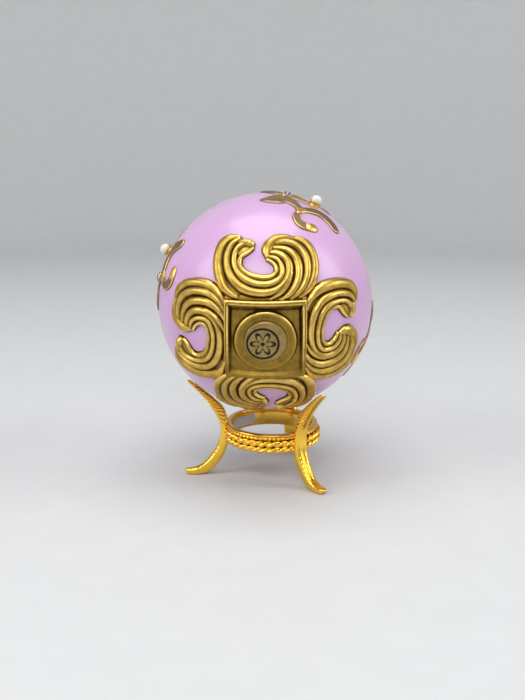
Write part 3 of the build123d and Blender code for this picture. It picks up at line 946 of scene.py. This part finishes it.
def make_stone(number):
    _, normal, base = seat(f"blue_stone_{number}")
    side, other = square_to(normal)
    hull = bmesh.new()
    for radius, height, shift in STONE_RINGS:
        turns = (np.arange(STONE_SIDES) + shift) * 2 * pi / STONE_SIDES
        for point in base + radius * arrows(turns, side, other) + height * normal:
            hull.verts.new(point * MM)
    bmesh.ops.convex_hull(hull, input=hull.verts[:])
    loose = [vert for vert in hull.verts if not vert.link_faces]
    bmesh.ops.delete(hull, geom=loose, context="VERTS")
    mesh = bpy.data.meshes.new(f"stone_{number}")
    hull.to_mesh(mesh)
    hull.free()
    stone = bpy.data.objects.new(f"faceted_stone_{number}", mesh)
    bpy.context.scene.collection.objects.link(stone)
    dress(stone, BLUE, "blue_glass", "egg", f"blue_stone_{number}")

    turns = full_turn(96)
    claws = np.clip(np.cos(BEZEL_CLAWS * turns) * CLAW_GAIN - CLAW_GAP, 0, 1)
    bezel = make_setting(f"stone_setting_{number}", base, normal, turns, BEZEL_SECTION, claws)
    dress(bezel, CUP_GILT, "cup_gilt", "egg", f"stone_bezel_{number}")


for number in range(1, 5):
    make_pearl(number)
    make_stone(number)

# ---------------------------------------------------------------- stand

STAND_CENTRE = np.array([2.0, -6.62, 0.0])
RING_ORIGIN = np.array([2.0, -5.88, 0.72])
RING_TILT = radians(3.2)
RING_UP = np.array([0.0, -sin(RING_TILT), cos(RING_TILT)])
RING_BACK = np.cross(RING_UP, RIGHT)
RING_TOP = 16.0
RING_BOTTOM = 10.4
BEAD_HEIGHT, BEAD_RADIUS = 14.7, 0.5
UPPER_ROPE_HEIGHT, LOWER_ROPE_HEIGHT, ROPE_RADIUS = 13.25, 11.35, 0.95
WIRE_SINK = 0.15     # how far each wire is flattened against the band
LEG_ANGLES = [radians(angle) for angle in (185.0, 305.0, 65.0)]
RING_INNER = 12.5
BAND_OUTER = 13.4


def make_ring():
    """The plain band with a rolled rim."""
    low, top = RING_BOTTOM, RING_TOP
    profile = [
        (RING_INNER, low + 0.15), (RING_INNER + 0.12, low), (BAND_OUTER - 0.1, low),
        (BAND_OUTER, low + 0.15), (BAND_OUTER, top - 0.95), (14.0, top - 0.85),
        (14.2, top - 0.6), (14.2, top - 0.25), (14.0, top - 0.04), (13.6, top), (12.9, top),
        (RING_INNER + 0.08, top - 0.06), (RING_INNER, top - 0.25),
    ]
    band = lathe("ring_band", profile, 220, RING_ORIGIN, RING_UP, RIGHT)
    dress(band, POLISHED, "stand_gold", "stand", "stand_ring")


def on_ring(turns, radius, height):
    """Points round the ring, one row of radii and heights for each turn."""
    out = arrows(turns, RIGHT, RING_BACK)[:, None, :]
    return RING_ORIGIN + radius[..., None] * out + height[..., None] * RING_UP


BEADS = 64
BEAD_STEPS = 10
BEAD_SECTION = 12
BEAD_NECK = 0.62     # the wire's width between two beads as a share of its width at one
NECK_DARKENING = 1.6


def make_beads():
    """A row of small dashes round the band, under the rim."""
    turns = full_turn(BEADS * BEAD_STEPS)
    angle = full_turn(BEAD_SECTION)
    swell = BEAD_NECK + (1 - BEAD_NECK) * abs(np.sin(turns * BEADS / 2)) ** 0.6
    middle = BAND_OUTER + BEAD_RADIUS - WIRE_SINK
    radius = middle + BEAD_RADIUS * swell[:, None] * np.cos(angle)
    height = BEAD_HEIGHT + BEAD_RADIUS * (0.75 + 0.25 * swell[:, None]) * np.sin(angle)
    points = on_ring(turns, radius, height).reshape(-1, 3)
    # Darker at the necks between the beads.
    cavity = np.repeat((1 - swell) * NECK_DARKENING, BEAD_SECTION)
    faces = grid_faces(len(turns), BEAD_SECTION, True, True)
    beads = new_piece("beaded_wire", points, faces, values={"cavity": cavity})
    dress(beads, GOLD, "stand_gold", "stand", "bead_wire")


ROPE_TURNS = 18
STRANDS = 2
STRAND_RADIUS = ROPE_RADIUS * 0.62
STRAND_SWING = ROPE_RADIUS * 0.4     # how far each strand's middle runs from the rope's
STRAND_STRETCH = 1.15                # how much taller than wide a strand is
ROPE_STEPS = 1260
ROPE_SECTION = 14
ROPE_DARKENING = 0.75


def make_rope(node, name, middle_height):
    """Two strands twisted round each other along the ring."""
    turns, angle = full_turn(ROPE_STEPS), full_turn(ROPE_SECTION)
    middle_radius = BAND_OUTER + ROPE_RADIUS - WIRE_SINK
    low, high = middle_height - ROPE_RADIUS, middle_height + ROPE_RADIUS
    one_strand = np.array(grid_faces(ROPE_STEPS, ROPE_SECTION, True, True))
    points, faces, cavity = [], [], []
    for number in range(STRANDS):
        phase = turns * ROPE_TURNS + 2 * pi * number / STRANDS
        centre_r = middle_radius + STRAND_SWING * np.cos(phase)
        centre_h = middle_height + STRAND_SWING * np.sin(phase)
        radius = centre_r[:, None] + STRAND_RADIUS * np.cos(angle)
        height = centre_h[:, None] + STRAND_RADIUS * np.sin(angle) * STRAND_STRETCH
        height = np.clip(height, low, high)
        inward = np.hypot(radius - middle_radius, height - middle_height)
        # Darker on each strand where it lies near the rope's middle, where the strands meet.
        cavity.append(np.clip(ROPE_DARKENING - inward / ROPE_RADIUS, 0, 1).ravel())
        faces += (one_strand + number * ROPE_STEPS * ROPE_SECTION).tolist()
        points.append(on_ring(turns, radius, height).reshape(-1, 3))
    values = {"cavity": np.concatenate(cavity)}
    rope = new_piece(name, np.concatenate(points), faces, values=values)
    dress(rope, GOLD, "stand_gold", "stand", node)


# A leg's side view: rows of (out, up) for its outer line and its inner line, toe to tip.
LEG_OUTER = [
    (27.2, 1.9), (25.4, 2.0), (23.2, 2.4), (20.9, 3.8), (18.7, 6.3), (16.9, 9.4), (15.9, 13.2),
    (16.3, 16.8), (18.4, 20.6), (21.0, 24.4), (23.7, 27.4), (26.2, 29.9),
]
LEG_INNER = [
    (27.0, 0.9), (25.6, 0.05), (22.8, 0.02), (19.7, 0.7), (17.2, 2.8), (14.9, 6.2), (13.7, 9.8),
    (13.35, 14.0), (14.2, 19.9), (16.6, 23.2), (20.6, 26.6), (25.4, 30.3),
]
LEG_WIDTHS = [1.15, 1.35, 1.5, 1.6, 1.75, 1.95, 2.1, 2.05, 2.05, 2.0, 1.9, 1.6]
LEG_STATIONS = 420
LEG_SECTION = 64
PRONG_BENDS = (0.0, 0.0, 1.6)
BEND_START = 0.5                     # places along a leg are shares of its length from the toe
BEND_REACH, BEND_MOST = 12.0, 1.1
TOE_ROUND, TIP_ROUND = 0.035, 0.02
LEAST_END = 0.02
PRONG_START, PRONG_FADE, TIP_FADE = 0.56, 0.06, 0.03
FOOT_END, FOOT_FADE, TOE_START, TOE_FADE = 0.47, 0.05, 0.02, 0.06
TOOTH_TURNS, FOOT_BEAD_TURNS, RIB_TURNS = 96.0, 95.0, 230.0
SECTION_POWER = 3.2                  # 2 is round, and more is squarer
TOOTH_CUT = 0.16
GROOVE_CUT, GROOVE_SPREAD = 0.16, 0.2
FOOT_BEAD_CUT, FOOT_BEAD_START, FOOT_BEAD_FADE = 0.1, 0.55, 0.3
RIB_CUT, RIB_LEAN = 0.18, 5.0
SPINE_CUT, SPINE_SPREAD = 0.1, 0.3
CUT_DARKENING, CUT_OFFSET, SPINE_DARKENING = 1.6, 0.08, 0.35


def leg_rows(share, rise):
    """Outer and inner line and half width at each share of a leg's length, prong bent up."""
    sides = zip(LEG_OUTER, LEG_INNER, LEG_WIDTHS)
    line = smooth_line([(*outer, *inner, width, 0) for outer, inner, width in sides], 0.05)
    picks = np.linspace(0, len(line) - 1, LEG_STATIONS)
    rows = np.stack([np.interp(picks, np.arange(len(line)), line[:, k]) for k in range(5)], 1)
    for k in (0, 2):
        reach = np.clip((rows[:, k] - BAND_OUTER) / BEND_REACH, 0, BEND_MOST)
        rows[:, k + 1] += rise * reach * (share > BEND_START)
    return rows


def rounded_end(gone, length):
    """Share of the full section at a distance from an end rounded off over a length."""
    return np.sqrt(np.clip(1 - np.clip(1 - gone / length, 0, 1) ** 2, 0, 1))


def make_leg(number, angle, rise):
    """A cast leg: a grooved foot and a leaf-edged prong in one sweep."""
    share = np.linspace(0, 1, LEG_STATIONS)
    rows = leg_rows(share, rise)
    middle = (rows[:, 0:2] + rows[:, 2:4]) / 2
    half = (rows[:, 0:2] - rows[:, 2:4]) / 2
    closing = rounded_end(share, TOE_ROUND) * rounded_end(1 - share, TIP_ROUND)
    closing = np.maximum(closing, LEAST_END)
    prong = np.clip((share - PRONG_START) / PRONG_FADE, 0, 1)
    prong = prong * np.clip((1.0 - share) / TIP_FADE, 0, 1)
    foot = np.clip((FOOT_END - share) / FOOT_FADE, 0, 1)
    foot = foot * np.clip((share - TOE_START) / TOE_FADE, 0, 1)
    teeth = abs(np.sin(share * TOOTH_TURNS)) ** 0.7
    beads = abs(np.sin(share * FOOT_BEAD_TURNS))

    # The section is a rounded rectangle, and through is +1 on the outer face.
    around = full_turn(LEG_SECTION)
    side_way, face_way = np.sin(around), np.cos(around)
    powers = abs(side_way) ** SECTION_POWER + abs(face_way) ** SECTION_POWER
    square = powers ** (-1 / SECTION_POWER)
    across = (side_way * square)[None, :]
    through = (face_way * square)[None, :]
    width = (rows[:, 4] * closing * (1 - TOOTH_CUT * prong * (1 - teeth)))[:, None]

    # Cuts into the outer face: the foot's groove and beads, and the prong's ribs and spine.
    outside = np.clip(through, 0, 1)
    groove = np.exp(-((across / GROOVE_SPREAD) ** 2))
    notch = np.clip((abs(across) - FOOT_BEAD_START) / FOOT_BEAD_FADE, 0, 1)
    foot_cut = GROOVE_CUT * foot[:, None] * groove
    foot_cut = foot_cut + FOOT_BEAD_CUT * (foot * (1 - beads))[:, None] * notch
    ribs = np.sin(share * RIB_TURNS)[:, None] * np.sign(across) * np.cos(across * RIB_LEAN)
    spine = np.exp(-((across / SPINE_SPREAD) ** 2))
    leaf_cut = RIB_CUT * (0.5 + 0.5 * ribs) + SPINE_CUT * spine
    depth = 1 - outside * foot_cut - outside * prong[:, None] * leaf_cut

    out_way = np.array([cos(angle), sin(angle), 0.0])
    side = np.array([-sin(angle), cos(angle), 0.0])
    radial = middle[:, 0:1] + half[:, 0:1] * through * depth * closing[:, None]
    height = middle[:, 1:2] + half[:, 1:2] * through * depth * closing[:, None]
    height = np.maximum(height, 0.0)
    points = STAND_CENTRE + radial[..., None] * out_way + height[..., None] * VERTICAL
    points = points + (across * width)[..., None] * side
    # Darker in the cuts and along the prong's spine.
    cavity = (1 - depth) * CUT_DARKENING - CUT_OFFSET
    cavity = np.clip(cavity + SPINE_DARKENING * outside * prong[:, None] * spine, 0, 1)
    faces = grid_faces(LEG_STATIONS, LEG_SECTION, False, True)
    values = {"cavity": cavity.ravel()}
    leg = new_piece(f"cast_leg_{number}", points.reshape(-1, 3), faces, values=values)
    close_ends(leg.data)
    dress(leg, GOLD, "stand_gold", "stand", f"leg_{number}")


def close_ends(mesh):
    """Fill a swept mesh's two open ends."""
    ends = bmesh.new()
    ends.from_mesh(mesh)
    bmesh.ops.holes_fill(ends, edges=[edge for edge in ends.edges if edge.is_boundary])
    bmesh.ops.recalc_face_normals(ends, faces=ends.faces[:])
    ends.to_mesh(mesh)
    ends.free()


make_ring()
make_beads()
make_rope("upper_rope", "upper_twisted_rope", UPPER_ROPE_HEIGHT)
make_rope("lower_rope", "lower_twisted_rope", LOWER_ROPE_HEIGHT)
for number, (angle, rise) in enumerate(zip(LEG_ANGLES, PRONG_BENDS), 1):
    make_leg(number, angle, rise)

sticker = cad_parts["label_sticker"]
if sticker.material_slots:
    sticker.material_slots[0].material = PAPER
else:
    sticker.data.materials.append(PAPER)
